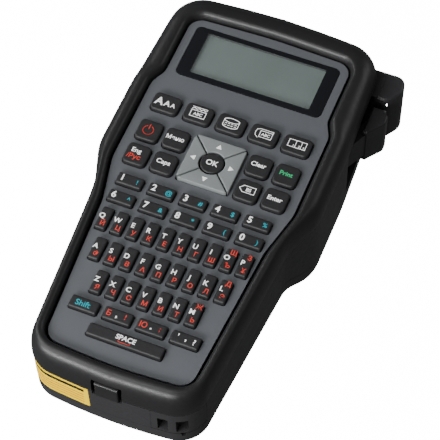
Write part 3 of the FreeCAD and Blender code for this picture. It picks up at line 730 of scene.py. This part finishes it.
def inset_polygon(corners, inset):
    """The polygon's sides moved inwards."""
    result = []
    for index, corner in enumerate(corners):
        corner = Vector(corner)
        before = (corner - Vector(corners[index - 1])).normalized()
        after = (Vector(corners[(index + 1) % len(corners)]) - corner).normalized()
        normals = [Vector((-before.y, before.x)), Vector((-after.y, after.x))]
        result.append(corner + (normals[0] + normals[1]) * (inset / (1 + normals[0].dot(normals[1]))))
    return result


def pad_outline(half, groove, hole, turns, inset):
    """One quarter of the pad from above, anticlockwise: round outer corners and a round bite."""
    reach = half - inset
    cut_line = groove / 2 * math.sqrt(2) + inset * math.sqrt(2)
    corner = 1.1
    bite = hole + inset
    side = reach - cut_line - corner * 0.4
    points = [(side, reach - corner * 0.45), (side - corner * 0.5, reach - corner * 0.05),
              (side - corner * 1.2, reach)]
    points += [(-x, y) for x, y in reversed(points)]
    start = math.asin(cut_line / math.sqrt(2) / bite) + math.pi / 4
    for step in range(13):
        angle = math.pi - start + (2 * start - math.pi) * step / 12
        points.append((bite * math.cos(angle), bite * math.sin(angle)))
    return [Matrix.Rotation(-turns * math.pi / 2, 2) @ Vector(p) for p in points]


NAV_GROOVE = 0.65
NAV_ARROW = [(-1.35, 8.4), (1.35, 8.4), (0.0, 10.8)]


def build_nav_pad():
    low, high = node_box("confirm_key")
    centre = (low + high) / 2
    pad_low, pad_high = node_box("nav_up_key")
    half = pad_high.y - centre.y
    hole = (high.x - low.x) / 2 + 0.5
    edge = 0.45
    for turns, name in enumerate(("nav_up_key", "nav_right_key", "nav_down_key", "nav_left_key")):
        layers = [(0.0, pad_low.z), (0.05, pad_high.z - edge)]
        for step in range(1, 6):
            angle = math.pi / 2 * step / 5
            layers.append((0.05 + edge * (1 - math.cos(angle)), pad_high.z - edge + edge * math.sin(angle)))
        rings = []
        for inset, z in layers:
            outline = pad_outline(half, NAV_GROOVE, hole, turns, inset)
            rings.append([(centre.x + p.x, centre.y + p.y, z) for p in outline])
        quarter = loft(f"{name}_cap", rings, NAVPAD, name, smooth=35.0)
        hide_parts(name)
        spin = Matrix.Rotation(-turns * math.pi / 2, 2)
        tip = [spin @ Vector(p) for p in NAV_ARROW]

        def draw(form):
            low_ring = [form.verts.new((centre.x + p.x, centre.y + p.y, INK_Z - INK_HALF)) for p in tip]
            high_ring = [form.verts.new((centre.x + p.x, centre.y + p.y, INK_Z + INK_HALF)) for p in tip]
            form.faces.new(high_ring)
            form.faces.new(low_ring[::-1])
            for index in range(3):
                after = (index + 1) % 3
                form.faces.new((low_ring[index], low_ring[after], high_ring[after], high_ring[index]))

        print_ink(f"{name}_arrow", WHITE, name, draw)
    button = block("confirm_key_cap", [(centre.x, centre.y)], high.x - low.x, high.y - low.y,
                   (high.x - low.x) / 2 - 0.001, low.z, high.z, 0.7, KEYS, "confirm_key")
    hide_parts("confirm_key")
    print_ink("confirm_key_word", WHITE, "confirm_key",
              lambda form: text_form(form, "OK", 2.9, centre.x, centre.y + 0.2, INK_Z, 0.06))


build_nav_pad()


# ---------------------------------------------------------------- display

def rounded_rectangle(x, y, width, depth, radius, arcs=8):
    points = []
    for sx, sy, first in ((1, 1, 0), (-1, 1, 90), (-1, -1, 180), (1, -1, 270)):
        for step in range(arcs):
            angle = math.radians(first + 90 * step / (arcs - 1))
            points.append((x + sx * (width / 2 - radius) + radius * math.cos(angle),
                           y + sy * (depth / 2 - radius) + radius * math.sin(angle)))
    return points


def build_window():
    low, high = node_box("display_window")
    centre = (low + high) / 2
    width, depth = high.x - low.x, high.y - low.y
    view_width, view_depth, view_shift = 60.8, 24.7, 0.25
    loops = [
        (width, depth, 2.8, low.z, 0.0), (width, depth, 2.8, high.z - 0.25, 0.0),
        (width - 0.2, depth - 0.2, 2.7, high.z - 0.05, 0.0), (width - 0.5, depth - 0.5, 2.55, high.z, 0.0),
        (view_width, view_depth, 1.0, high.z, view_shift), (view_width, view_depth, 1.0, low.z, view_shift),
    ]
    rings = []
    for wide, deep, radius, z, shift in loops:
        outline = rounded_rectangle(centre.x, centre.y + shift, wide, deep, radius)
        rings.append([(x, y, z) for x, y in outline])
    border = loft("window_border", rings, BORDER, "case", closed_section=True, smooth=30.0)
    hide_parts("display_window")
    pane_rings = []
    for inset, z in ((0.02, high.z - 0.9), (0.02, high.z - 0.12), (0.3, high.z - 0.08)):
        outline = rounded_rectangle(centre.x, centre.y + view_shift, view_width - 2 * inset,
                                    view_depth - 2 * inset, 1.0)
        pane_rings.append([(x, y, z) for x, y in outline])
    loft("window_pane", pane_rings, GLASS, "case", smooth=30.0)


build_window()


# ---------------------------------------------------------------- label on the lower wall

def build_sticker():
    """A printed strip that lies round the lower left corner of the rear housing."""
    wall = spaced(traced(grown(BODY_OUTLINE, -0.35), 0.05), 1400)
    normals = loop_normals(wall)
    chosen = [index for index, p in enumerate(wall)
              if (p.x < -9.0 and p.y < -98) or (p.x < -30 and p.y < -94.5)]
    path = [(wall[index], normals[index]) for index in chosen]
    length = [0.0]
    for (first, _), (second, _) in zip(path, path[1:]):
        length.append(length[-1] + (second - first).length)

    def strip(name, start, end, low, high, lift, material):
        inside = [n for n, along in enumerate(length) if start <= along <= end]
        rings = []
        for offset, z in ((lift, low), (lift + 0.06, low + 0.02), (lift + 0.06, high - 0.02), (lift, high)):
            ring = []
            for n in inside:
                spot = path[n][0] + path[n][1] * offset
                ring.append(at_frame(spot.x, spot.y, z))
            rings.append(ring)
        count = len(rings[0])
        vertices = [p for ring in rings for p in ring]
        faces = []
        for level in range(4):
            above = (level + 1) % 4
            for n in range(count - 1):
                faces.append((level * count + n, level * count + n + 1,
                              above * count + n + 1, above * count + n))
        faces.append(tuple(level * count for level in range(4)))
        faces.append(tuple(level * count + count - 1 for level in range(4)))
        mesh_piece(name, vertices, faces, material, "case", 60.0)

    total = length[-1]
    strip("info_strip", 0.0, total, 23.5, 39.3, 0.0, STICKER)
    strip("info_strip_band", 1.8, total * 0.94, 35.4, 37.8, 0.03, BLACK_INK)
    for line in range(4):
        low = 25.6 + 2.3 * line
        strip(f"info_strip_line_{line}", 2.4, total * 0.94, low, low + 0.6, 0.03, ORANGE_INK)


build_sticker()


# ---------------------------------------------------------------- stage, light and camera

def build_stage():
    """A pale floor, low enough for the opened rear cover to hang clear of it."""
    floor_mesh = bpy.data.meshes.new("floor")
    level, reach = -0.23, 3
    corners = [(-reach, -reach, level), (reach, -reach, level), (reach, reach, level), (-reach, reach, level)]
    floor_mesh.from_pydata(corners, [], [(0, 1, 2, 3)])
    material, tree, shader = node_tree("floor_paper")
    tone = ramp(tree, noise(tree, 2.0, 3.0), [(0.3, (0.93, 0.93, 0.93)), (0.7, (0.95, 0.95, 0.95))])
    tree.links.new(tone, shader.inputs["Base Color"])
    tree.links.new(tone, shader.inputs["Emission Color"])
    shader.inputs["Emission Strength"].default_value = 16.0
    shader.inputs["Roughness"].default_value = 0.9
    shader.inputs["Specular IOR Level"].default_value = 0.0
    floor_mesh.materials.append(material)
    floor = bpy.data.objects.new("floor", floor_mesh)
    bpy.context.collection.objects.link(floor)
    floor.visible_diffuse = False
    floor.visible_glossy = False
    floor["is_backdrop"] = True


def soft_light(name, energy, wide, deep, place, aim):
    data = bpy.data.lights.new(name, "AREA")
    data.shape = "RECTANGLE"
    data.size, data.size_y = wide, deep
    data.energy = energy
    lamp = bpy.data.objects.new(name, data)
    lamp.location = place
    lamp.rotation_mode = "QUATERNION"
    lamp.rotation_quaternion = (Vector(aim) - Vector(place)).to_track_quat("-Z", "Y")
    bpy.context.collection.objects.link(lamp)


def build_light():
    world = bpy.data.worlds.new("studio")
    bpy.context.scene.world = world
    world.use_nodes = True
    background = world.node_tree.nodes["Background"]
    background.inputs["Color"].default_value = (1.0, 1.0, 1.0, 1)
    background.inputs["Strength"].default_value = 0.12
    soft_light("overhead_softbox", 8.0, 0.8, 0.8, (-0.55, -0.45, 1.0), (0, 0, 0))
    soft_light("front_strip", 16.0, 0.9, 0.25, (-0.35, -1.0, 0.5), (0, -0.1, 0.03))
    soft_light("left_strip", 3.0, 0.9, 0.25, (-1.0, 0.2, 0.6), (0, 0, 0.03))
    soft_light("back_fill", 2.5, 0.8, 0.8, (0.9, 0.9, 0.5), (0, 0, 0))


FOCAL_PIXELS, FRAME_PIXELS, SENSOR = 1848.76, 440, 36.0


def place_camera():
    """The photograph's camera: turn, elevation and roll in degrees, distances in millimetres."""
    turn, elevation, roll = (math.radians(a) for a in (23.170, 57.851, 1.363))
    distance, across, upward = 917.005, 12.578, 30.967
    spin = Matrix(((math.cos(turn), math.sin(turn), 0), (-math.sin(turn), math.cos(turn), 0), (0, 0, 1)))
    tilt = Matrix(((1, 0, 0), (0, math.sin(elevation), math.cos(elevation)),
                   (0, math.cos(elevation), -math.sin(elevation))))
    bank = Matrix(((math.cos(roll), -math.sin(roll), 0), (math.sin(roll), math.cos(roll), 0), (0, 0, 1)))
    axes = bank @ tilt @ spin
    location = -(axes.transposed() @ Vector((across, upward, distance))) * MM
    basis = Matrix((axes[0], axes[1], -axes[2])).transposed()
    camera = bpy.data.objects.new("photo_camera", bpy.data.cameras.new("photo_camera"))
    camera.data.sensor_width = SENSOR
    camera.data.lens = FOCAL_PIXELS / FRAME_PIXELS * SENSOR
    camera.data.clip_start, camera.data.clip_end = 0.05, 20.0
    camera.matrix_world = Matrix.Translation(location) @ basis.to_4x4()
    bpy.context.collection.objects.link(camera)
    bpy.context.scene.camera = camera


build_stage()
build_light()
place_camera()

low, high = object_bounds()
